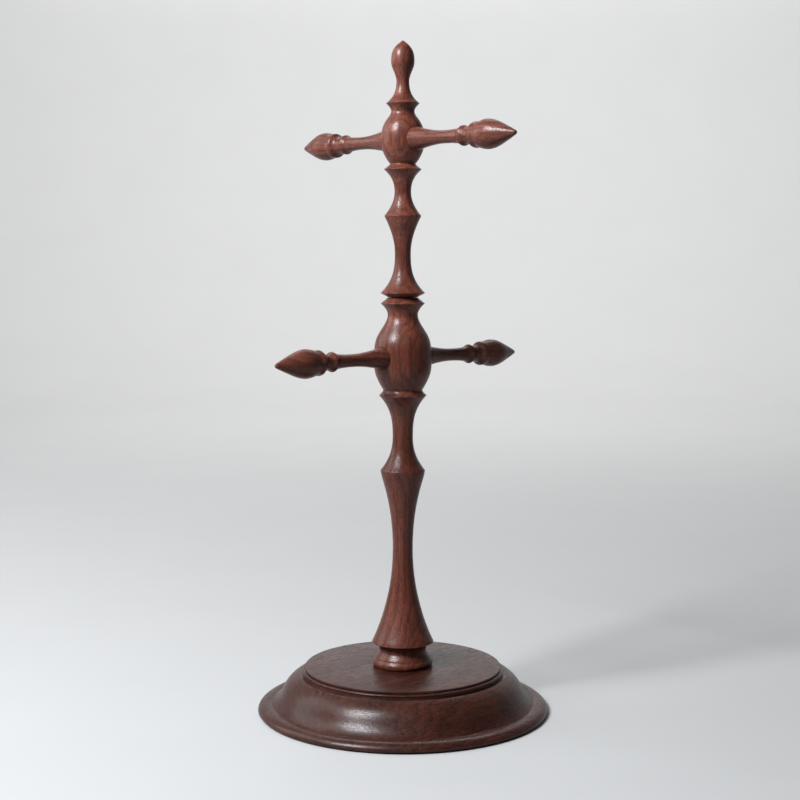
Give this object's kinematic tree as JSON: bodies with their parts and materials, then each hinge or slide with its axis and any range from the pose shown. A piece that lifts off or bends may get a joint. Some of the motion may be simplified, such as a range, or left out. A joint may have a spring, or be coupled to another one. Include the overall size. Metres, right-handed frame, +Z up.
{
  "type": "mug tree",
  "caption": "Free-standing turned wooden mug tree: a moulded round base, a slim turned column with a finial, and almost level pegs at two heights set crosswise, each ending in a pointed bud",
  "frame": {"origin": "centre of the underside, on the plane that the object stands on", "axes": "+Z is up along the column, the upper pegs point along +X and -X, and the lower pegs along +Y and -Y"},
  "size_m": [0.1852, 0.1918, 0.4015],
  "materials": {
    "base_wood": "satin oiled dark walnut, grain running across the board",
    "lower_column_wood": "satin oiled dark walnut, grain running up the column",
    "upper_column_wood": "satin oiled dark walnut, grain running up the column",
    "peg_wood": "satin oiled dark walnut, grain running along the peg",
    "felt": "dark brown felt",
    "screw_steel": "plain turned steel"
  },
  "bodies": {
    "root": {"base": "base_wood", "base_pad": "felt", "base_screw": "screw_steel", "lower_column": "lower_column_wood", "upper_column": "upper_column_wood", "upper_peg_right": "peg_wood", "upper_peg_left": "peg_wood", "lower_peg_front": "peg_wood", "lower_peg_back": "peg_wood"}
  },
  "joints": []
}
